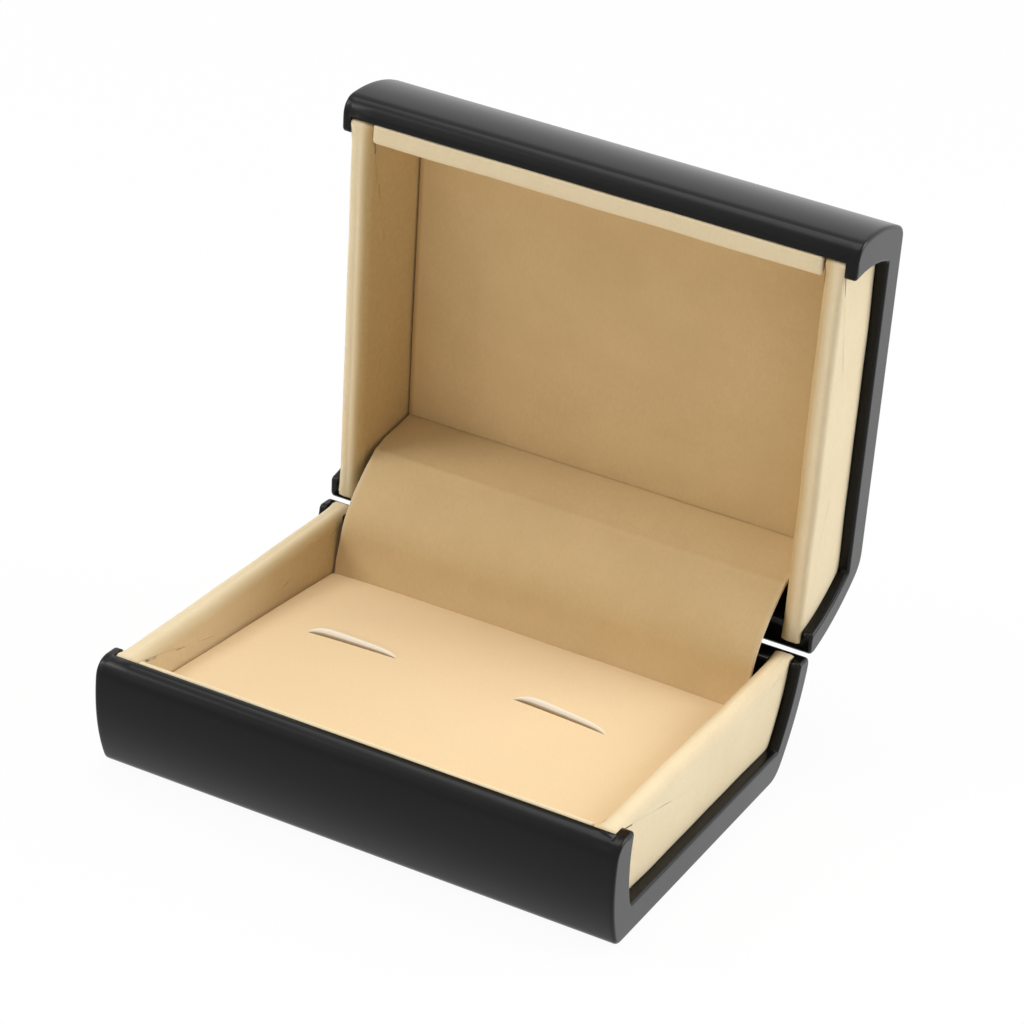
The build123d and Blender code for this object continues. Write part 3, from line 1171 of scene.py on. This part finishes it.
@dataclass
class FrontLiner:
    """The cloth-wrapped board inside a front wall, with a rolled ridge along its inner edge."""

    half: Half
    thick: float
    ridge_reach: float
    dip: float
    dip_place: float = 0.75
    dip_width: float = 0.4
    dip_depth: float = 0.6
    seat: float = 0.05
    half_length: float = 34.95
    wall_reach: float = 0.5
    end_round: float = 0.4
    hand_made: float = 0.05

    def loop(self) -> Array:
        """Section of the liner: up the wall, over the edge and down the inside.

        Returns:
            The line's points, whose ends the plate joins.
        """
        wall = BOX.front_pocket_wall + self.seat
        outer = mirrored(wall_arc(BOX.plate, BOX.top, wall))[::-1]
        inner = mirrored(wall_arc(BOX.plate, BOX.top, wall + self.thick))
        edge = straight(tuple(outer[-1]), tuple(inner[0]), 30)
        middle = tuple(edge[len(edge) // 2])
        up = with_round_corners(
            [outer, straight(tuple(edge[0]), middle)], [self.wall_reach, 0], per_run=[20, 7]
        )
        down = with_round_corners(
            [straight(middle, tuple(edge[-1])), inner], [self.ridge_reach, 0], per_run=[4, 24]
        )
        loop = np.concatenate([up, down[1:]])
        near_top = ramp(loop[:, 1], BOX.top - self.dip_depth, self.dip_depth)
        across = loop[:, 0] - edge[0, 0] - self.dip_place
        loop[:, 1] -= self.dip * bell(across, self.dip_width) * near_top
        return loop

    def make(self, finishes: Finishes) -> bpy.types.Object:
        """Builds the liner, as wide as the room between the panels at each height.

        Args:
            finishes: The box's materials.

        Returns:
            The liner's object.
        """
        stations = tuple(np.linspace(0, self.half_length - 2, 9))
        rings = CarriedSection(self.loop(), self.half_length, self.end_round, stations).rings()
        rings[..., 0] *= BOX.between_panels(rings[..., 2], 0) / BOX.between_panels(BOX.top, 0)
        rings[..., 1] += self.hand_made * unevenness(rings, wave=14, seed=21)
        piece = closed_surface(rings).into(f"{self.half.value}_liner_cloth", self.half)
        dress(piece, finishes.panel)
        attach(piece, self.half.value)
        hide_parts(f"{self.half.value}_front_liner_skin")
        return piece


@dataclass
class LidLining:
    """The cloth-faced board on the lid's plate."""

    back: float = 23.72
    front_inset: float = 6.3
    board: float = 0.8
    thick: float = 0.4
    side_gap: float = 0.08
    soft: float = 0.3
    end_round: float = 0.12
    hand_made: float = 0.07
    # Painted shade where the lining meets the end panels: its strength, and how far from the sides
    # it begins and fades in.
    seam_shade: float = 0.75
    seam_shade_width: float = 0.8
    seam_shade_fade: float = 0.7
    side_stations: tuple[float, ...] = (1.1, 0.8, 0.55, 0.3)

    def make(self, finishes: Finishes) -> bpy.types.Object:
        """Builds the cloth that lies over the lining's board.

        Args:
            finishes: The box's materials.

        Returns:
            The lining's object.
        """
        low, top = BOX.plate + self.board, BOX.plate + self.board + self.thick
        front = -float(BOX.face(BOX.plate, self.front_inset))
        corners = [(self.back, low), (self.back, top), (front, top), (front, low)]
        over = with_round_corners(
            [straight(*pair) for pair in zip(corners, corners[1:])],
            [self.soft, self.soft, 0],
            per_run=[2, 48, 2],
            per_corner=4,
        )
        loop = np.concatenate([over, straight(corners[-1], corners[0], len(over))])
        half = float(BOX.between_panels(BOX.plate, self.side_gap))
        stations = (*np.linspace(0, half - 1.5, 18), *(half - np.array(self.side_stations)))
        rings = CarriedSection(loop, half, self.end_round, stations).rings()
        lift = self.hand_made * unevenness(rings[..., :2], wave=18, seed=31)
        rings[..., 2] += ramp(rings[..., 2], low, self.thick) * lift
        surface = closed_surface(rings)
        # Painted shade darkens the cloth near the sides, where the lining meets the end panels.
        past_side = np.abs(rings[..., 0]) - half
        shaded_seam = ramp(past_side, -self.seam_shade_width, self.seam_shade_fade)
        surface.values["dark"] = self.seam_shade * shaded_seam
        piece = surface.into("lid_lining_cloth", Half.LID)
        dress(piece, finishes.lining)
        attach(piece, "lid")
        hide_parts("lid_lining_skin")
        return piece


@dataclass
class Pillow:
    """The insert: cloth over foam, crowned, higher at the front, with two slots."""

    front_inset: float = 3.8
    back_inset: float = 7.85
    side_gap: float = 0.12
    bottom: float = 6.32
    back_edge: float = 10.6
    front_edge: float = 13.5
    roll: float = 1.5
    crown: float = 1.35
    slot_length: float = 14.5
    slot_spacing: float = 33.0
    slot_back: float = -0.2
    slot_shift: float = -0.8
    slot_gape: float = 1.2
    slot_depth: float = 2.2
    lip: float = 0.6
    lip_width: float = 1.5
    slot_line: float = 0.002
    front_height: float = 12.5
    back_height: float = 11.0
    side_height: float = 12.0
    hand_made: float = 0.05
    slot_rows: tuple[float, ...] = (-1.0, -0.8, -0.6, -0.3, 0.0, 0.3, 0.6, 0.85, 1.0)
    slot_reach: tuple[float, ...] = (0.0, 0.03, 0.12, 0.3, 0.44, 0.56, 0.72, 0.88, 1.0)
    slot_rise: tuple[float, ...] = (0.0, -0.5, -0.9, -1.0, -0.72, -0.2, 0.5, 0.92, 1.0)

    def slot_share(self, x: Array) -> Array:
        """How open the slots are: (1 - s^6)(1 - 0.3 s) along each, widest left of its middle.

        Args:
            x: Places along X.

        Returns:
            One value for each place, 0 outside the slots. S runs from -1 to 1 along a slot.
        """
        middles = [self.slot_shift + side.value * self.slot_spacing / 2 for side in Side]
        places = [(x - middle) / (self.slot_length / 2) for middle in middles]
        return sum(np.clip(1 - s**6, 0, 1) * (1 - 0.3 * np.clip(s, -1, 1)) for s in places)

    def columns(self) -> Array:
        """Shares of the half-width, closer together towards the edges."""
        ease = np.linspace(-1, 1, 221)
        return np.sign(ease) * (1 - (1 - np.abs(ease)) ** 1.25)

    def rows(self) -> tuple[Array, Array]:
        """Rows from front to back.

        Returns:
            For each row its share of the way, -1 to 0 in front of the slots and 0 to 1 behind them,
            and its place across a slot, -1 at the front lip and 1 at the back lip.
        """
        front = -np.concatenate([np.linspace(1, 0.93, 8), np.geomspace(0.92, self.slot_line, 44)])
        slot = np.linspace(-1, 1, 21)
        share = np.concatenate([front, np.zeros(len(slot)), -front[::-1]])
        across = np.concatenate([-np.ones(len(front)), slot, np.ones(len(front))])
        return share, across

    def surface(self) -> Surface:
        """The pillow's closed surface.

        Its height is a sloping plane between the edges, plus a rounding of
        roll * sqrt((1 - u^8)(1 - v^8)) and a swelling of crown * (1 - u^2)(1 - v^2), with u and v
        from -1 to 1 across the pillow. Each slot is an almond-shaped well, whose section follows
        slot_reach and slot_rise, and the cloth behind it is pushed up into a lip.

        Returns:
            The surface, whose value "cut" is 1 on a slot's back wall and "dark", painted shade, is
            1 in its depth.
        """
        share, across = self.rows()
        u = self.columns()[None, :]
        share, across = share[:, None], across[:, None]
        front = -float(BOX.face(self.front_height, self.front_inset))
        back = float(BOX.face(self.back_height, self.back_inset))
        flat_half = float(BOX.between_panels(self.side_height, self.side_gap))
        gape = self.slot_share(u * flat_half)
        reach = np.interp(across, self.slot_rows, self.slot_reach)
        rise = np.interp(across, self.slot_rows, self.slot_rise)
        rise = np.where(rise < 0, rise * self.slot_depth * np.sqrt(gape), rise * self.lip * gape)
        line = self.slot_back + self.slot_gape * gape * reach
        edge = np.where(share < 0, front, back)
        y = line + np.abs(share) * (edge - line)
        v = (2 * y - front - back) / (back - front)
        way = (back - y) / (back - front)
        base = self.back_edge + (self.front_edge - self.back_edge) * way
        z = base + self.roll * np.sqrt(np.clip((1 - np.abs(u) ** 8) * (1 - np.abs(v) ** 8), 0, 1))
        z = z + self.crown * (1 - u**2) * np.clip(1 - v**2, 0, 1)
        in_slot, beyond = share == 0, (y - line) / self.lip_width
        z = z + np.where(share > 0, self.lip * gape * bell(beyond, 1.0), 0)
        z = z + np.where(in_slot, rise, 0)
        x = u * BOX.between_panels(z, self.side_gap)
        top = np.stack(np.broadcast_arrays(x, y, z), axis=2)
        top[..., 2] += self.hand_made * unevenness(top[..., :2], wave=20, seed=41) * ~in_slot
        behind = np.clip(1 - beyond * 5, 0, 1) * (share > 0)
        cut = np.where(in_slot, ramp(across, 0.3, 0.2), behind)
        # Painted shade in the depth of the slots, below the pale back wall.
        dark = np.where(in_slot, ramp(-across, -0.5, 0.2), 0)
        open_here = np.clip(6 * gape, 0, 1)
        cut, dark = (np.broadcast_to(value * open_here, top.shape[:2]) for value in (cut, dark))
        return self.closed(top, cut, dark)

    def closed(self, top: Array, cut: Array, dark: Array) -> Surface:
        """Adds straight sides and a flat underside to the top.

        Args:
            top: The top's grid of points.
            cut: How much of each point is cut edge.
            dark: Painted shade at each point, by how deep it lies in a slot.

        Returns:
            The closed surface. Sides and underside share the top's outermost points.
        """
        rows, columns = top.shape[:2]
        here = np.arange(rows * columns).reshape(rows, columns)
        border = np.concatenate([here[0, :-1], here[:-1, -1], here[-1, :0:-1], here[:0:-1, 0]])
        edge = top.reshape(-1, 3)[border]
        side = float(BOX.between_panels(self.bottom, self.side_gap))
        front = -float(BOX.face(self.bottom, self.front_inset))
        back = float(BOX.face(self.bottom, self.back_inset))
        foot = np.clip(edge, (-side, front, self.bottom), (side, back, self.bottom))
        middle = np.array([[0.0, 0.0, self.bottom]])
        base = rows * columns
        ring = base + np.arange(len(border))
        after, ring_after = np.roll(border, -1), np.roll(ring, -1)
        sides = np.stack([border, ring, ring_after, after], axis=1)
        under = np.stack([ring, np.full(len(ring), base + len(border)), ring_after], axis=1)
        points = np.concatenate([top.reshape(-1, 3), foot, middle])
        faces = np.concatenate([grid_faces(rows, columns, ring=False), sides])
        rest = np.zeros(len(foot) + 1)
        values = {"cut": cut, "dark": dark}
        values = {key: np.concatenate([part.ravel(), rest]) for key, part in values.items()}
        return Surface(points, faces.tolist() + under.tolist(), values)

    def make(self, finishes: Finishes) -> bpy.types.Object:
        """Builds the pillow.

        Args:
            finishes: The box's materials.

        Returns:
            The pillow's object.
        """
        piece = self.surface().into("pillow_cloth", Half.BASE)
        dress(piece, finishes.pillow)
        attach(piece, "base")
        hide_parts("pad_skin", "pad_foam")
        return piece


@dataclass
class HingeCover:
    """The soft strip over the hinge, from behind the pillow to the lid's lining."""

    thick: float = 0.7
    half_width: float = 34.0
    inset: float = 7.5
    low: float = 5.75
    knee: float = 16.5
    crease: Place = (25.6, 15.6)
    lid_end: Place = (23.93, 5.7)
    side_gap: float = 0.3
    ridge: float = 0.16
    ridge_width: float = 0.55
    ridge_at: int = 56
    bend_at: int = 20
    end_round: float = 0.15
    hand_made: float = 0.09
    cut_share: float = 0.25
    cut_width: float = 0.45
    cut_fade: float = 0.4
    # Painted shade at the strip's end by the lining: its strength, and how far from the end it
    # begins and fades in.
    seam_shade: float = 0.8
    seam_shade_width: float = 0.75
    seam_shade_fade: float = 0.6
    arrival: Place = (1.0, 0.7)

    def path(self) -> Array:
        """Middle line of the strip at rest: up the wall, over the hinge, and in to the lining.

        Returns:
            Depth and height of its points.
        """
        wall = wall_arc(self.low, self.knee, self.inset, 24)
        crease, end = BOX.opened(np.array([self.crease, self.lid_end]))
        over = hermite(wall[-1], crease, wall[-1] - wall[-2], np.array(self.arrival), 40)
        inner = straight(tuple(crease), tuple(end), 30)
        return with_round_corners(
            [wall, over, inner], [0.8, 0.7, 0], per_run=[20, 26, 18], per_corner=7
        )

    def crease_ridge(self, path: Array) -> Array:
        """Height of the pressed crease along the path: a bell about 1 mm wide at the bend."""
        along = lengths_along(path)
        return self.ridge * bell(along - along[self.ridge_at], self.ridge_width)

    def make(self, finishes: Finishes) -> bpy.types.Object:
        """Builds the strip in its shape with the lid standing open.

        Args:
            finishes: The box's materials.

        Returns:
            The strip's object.
        """
        path = self.path()
        tangent = np.gradient(path, axis=0)
        normal = np.stack([tangent[:, 1], -tangent[:, 0]], axis=1)
        normal /= np.linalg.norm(normal, axis=1)[:, None]
        seen = path - normal * (self.thick / 2 + self.crease_ridge(path))[:, None]
        loop = np.concatenate([path + normal * self.thick / 2, seen[::-1]])
        stations = tuple(np.linspace(0, self.half_width - 0.8, 24))
        rings = CarriedSection(loop, self.half_width, self.end_round, stations, steps=3).rings()
        rings[..., 0] *= np.minimum(1, self.room(path) / self.half_width)[None]
        sway = self.hand_made * unevenness(rings, wave=15, seed=51)
        share = np.linspace(0, 1, len(path))
        free = np.clip(np.sin(math.pi * np.concatenate([share, share[::-1]])) * 1.6, 0, 1)
        push = np.concatenate([normal, normal[::-1]])
        rings[..., 1:] += (sway * free[None])[..., None] * push[None]
        surface = closed_surface(rings)
        side = ramp(np.abs(rings[..., 0]), self.half_width - self.cut_width, self.cut_fade)
        surface.values["cut"] = self.cut_share * side
        # Painted shade darkens the strip's last part, where it meets the lining.
        along = lengths_along(path)
        shaded_seam = ramp(along, along[-1] - self.seam_shade_width, self.seam_shade_fade)
        shaded_seam = self.seam_shade * np.concatenate([shaded_seam, shaded_seam[::-1]])
        surface.values["dark"] = np.broadcast_to(shaded_seam, rings.shape[:2])
        piece = surface.into("hinge_cover_cloth", Half.BASE)
        # The hinge cover takes the lining's cloth, with its painted shade.
        dress(piece, finishes.lining)
        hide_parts("hinge_cover")
        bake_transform(piece)
        return piece

    def room(self, path: Array) -> Array:
        """Half-width that the panels leave free along the strip.

        Args:
            path: The strip's middle line.

        Returns:
            One value for each point of the path, and then the same in the opposite order.
        """
        turn = math.radians(BOX.open_angle)
        run, rise = path[:, 0] - BOX.pin_back, path[:, 1] - BOX.closing_plane
        lid_height = BOX.closing_plane - (run * math.sin(turn) + rise * math.cos(turn))
        room = np.full(len(path), self.half_width)
        for height in (path[:, 1], lid_height):
            beside = BOX.between_panels(height, self.side_gap)
            room = np.where(height < BOX.top, np.minimum(room, beside), room)
        return np.concatenate([room, room[::-1]])


@dataclass
class HiddenPieces:
    """The frame's own pieces that stay: boards, hinge leaves, screws and pin."""

    metals: tuple[str, ...] = ("hinge_leaf_base", "hinge_leaf_lid", "hinge_pin")
    screws: tuple[str, ...] = ("hinge_screws_base", "hinge_screws_lid")

    def finish(self, finishes: Finishes) -> None:
        """Gives each of them its material.

        Args:
            finishes: The box's materials.
        """
        for name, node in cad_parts.items():
            if name in self.metals:
                dress(node, finishes.nickel)
            elif name in self.screws:
                dress(node, finishes.screws)
            elif "board" in name:
                dress(node, finishes.board)
            elif name == "pad_foam":
                dress(node, finishes.foam)


# ---------------------------------------------------------------- the studio
@dataclass(frozen=True)
class Softbox:
    """One large soft lamp that points at the box."""

    name: str
    place: Triple
    size: float
    watts: float
    aim: Triple = (0.0, 0.01, 0.03)

    def make(self) -> None:
        """Hangs the lamp."""
        data = bpy.data.lights.new(self.name, "AREA")
        data.shape, data.size, data.energy = "SQUARE", self.size, self.watts
        lamp = bpy.data.objects.new(self.name, data)
        bpy.context.scene.collection.objects.link(lamp)
        lamp.location = self.place
        towards = Vector(self.aim) - lamp.location
        lamp.rotation_euler = towards.to_track_quat("-Z", "Y").to_euler()


@dataclass
class Studio:
    """Pale floor, soft light and the camera."""

    azimuth: float = 21.824
    elevation: float = 24.722
    roll: float = 8.695
    distance: float = 0.53325
    target: Triple = (0.001656, 0.005629, 0.039930)
    lens: float = 132.95
    sensor: float = 36.0
    floor_half: float = 3.0
    floor_drop: float = 0.0001
    floor_glow: float = 0.95
    sky: float = 0.25
    lamps: tuple[Softbox, ...] = (
        Softbox("top_softbox", (-0.05, -0.02, 0.95), 0.7, 4.6),
        Softbox("key_softbox", (-0.78, -0.5, 0.8), 0.5, 5.2),
        Softbox("side_softbox", (0.7, 0.5, 0.42), 0.6, 4.8),
        Softbox("front_softbox", (-0.7, -0.8, 0.4), 0.6, 0.7),
    )

    def make(self) -> None:
        """Builds the floor, the world, the lamps and the camera."""
        self.make_floor()
        self.make_world()
        for lamp in self.lamps:
            lamp.make()
        self.make_camera()
        bpy.context.scene.view_settings.view_transform = "Standard"

    def make_floor(self) -> None:
        """Lays a white floor that still takes a soft shadow."""
        corners = np.array([(-1, -1, 0), (1, -1, 0), (1, 1, 0), (-1, 1, 0)], float)
        corners = corners * self.floor_half - (0, 0, self.floor_drop)
        mesh = bpy.data.meshes.new("floor")
        mesh.from_pydata(corners.tolist(), [], [(0, 1, 2, 3)])
        floor = bpy.data.objects.new("floor", mesh)
        bpy.context.scene.collection.objects.link(floor)
        sheet = NodeSheet("floor_paper")
        sheet.set(Roughness=0.9, IOR=1.2)
        tone = sheet.spread(sheet.noise(4, Detail=2), 0, 1)
        colour = sheet.blend(tone, (0.88, 0.88, 0.88), (0.9, 0.9, 0.9))
        sheet.link(colour, sheet.shader.inputs["Base Color"])
        glow = sheet.add("ShaderNodeEmission")
        mix = sheet.add("ShaderNodeMixShader")
        share = sheet.spread(self.seen_directly(sheet.tree), 0, self.floor_glow, 0, 1)
        sheet.link(share, mix.inputs[0])
        sheet.link(sheet.shader.outputs[0], mix.inputs[1])
        sheet.link(glow.outputs[0], mix.inputs[2])
        sheet.link(mix.outputs[0], sheet.tree.nodes["Material Output"].inputs["Surface"])
        dress(floor, sheet.material)

    def seen_directly(self, tree: bpy.types.NodeTree) -> Socket:
        """Tells the rays that see a backdrop from the light that falls on the box.

        Args:
            tree: The node tree to add to.

        Returns:
            A value of 1 for camera, glossy and transmission rays and 0 for all others.
        """
        rays = tree.nodes.new("ShaderNodeLightPath")
        last = rays.outputs["Is Camera Ray"]
        for name in ("Is Glossy Ray", "Is Transmission Ray"):
            most = tree.nodes.new("ShaderNodeMath")
            most.operation = "MAXIMUM"
            tree.links.new(last, most.inputs[0])
            tree.links.new(rays.outputs[name], most.inputs[1])
            last = most.outputs[0]
        return last

    def make_world(self) -> None:
        """Surrounds the box with even light that looks white."""
        world = bpy.data.worlds.new("studio")
        bpy.context.scene.world = world
        world.use_nodes = True
        tree = world.node_tree
        light = tree.nodes["Background"]
        light.inputs["Color"].default_value = (1.0, 0.985, 0.96, 1)
        light.inputs["Strength"].default_value = self.sky
        white = tree.nodes.new("ShaderNodeBackground")
        white.inputs["Color"].default_value = (1, 1, 1, 1)
        white.inputs["Strength"].default_value = 1.0
        mix = tree.nodes.new("ShaderNodeMixShader")
        tree.links.new(self.seen_directly(tree), mix.inputs[0])
        tree.links.new(light.outputs[0], mix.inputs[1])
        tree.links.new(white.outputs[0], mix.inputs[2])
        tree.links.new(mix.outputs[0], tree.nodes["World Output"].inputs["Surface"])

    def make_camera(self) -> None:
        """Points a long lens at the box, turned about its own axis by the roll."""
        a, e, r = (math.radians(v) for v in (self.azimuth, self.elevation, self.roll))
        back = Vector((math.sin(a) * math.cos(e), -math.cos(a) * math.cos(e), math.sin(e)))
        right = Vector((math.cos(a), math.sin(a), 0))
        up = back.cross(right)
        across = math.cos(r) * right + math.sin(r) * up
        upward = -math.sin(r) * right + math.cos(r) * up
        data = bpy.data.cameras.new("camera")
        data.lens, data.sensor_width, data.clip_start = self.lens, self.sensor, 0.01
        camera = bpy.data.objects.new("camera", data)
        bpy.context.scene.collection.objects.link(camera)
        turn = Matrix((across, upward, back)).transposed().to_4x4()
        camera.matrix_world = Matrix.Translation(Vector(self.target) + back * self.distance) @ turn
        bpy.context.scene.camera = camera


def main() -> None:
    """Builds the box's pieces and the studio, in order."""
    logging.basicConfig(level=logging.INFO, format="%(name)s: %(message)s")
    Studio().make()
    finishes = Finishes.made()
    HiddenPieces().finish(finishes)
    over_rims = {Side.LEFT: 1.1, Side.RIGHT: 1.6}
    makers = [Shell(half) for half in Half]
    makers += [EndPanel(half, side, over_rims[side]) for half in Half for side in Side]
    makers += [
        FrontLiner(Half.BASE, thick=0.8, ridge_reach=0.3, dip=0.0),
        FrontLiner(Half.LID, thick=3.2, ridge_reach=0.9, dip=0.04),
    ]
    makers += [LidLining(), Pillow(), HingeCover()]
    for maker in makers:
        piece = maker.make(finishes)
        points, faces = len(piece.data.vertices), len(piece.data.polygons)
        log.info("%s: %d points, %d faces", piece.name, points, faces)


if __name__ == "__main__":
    main()
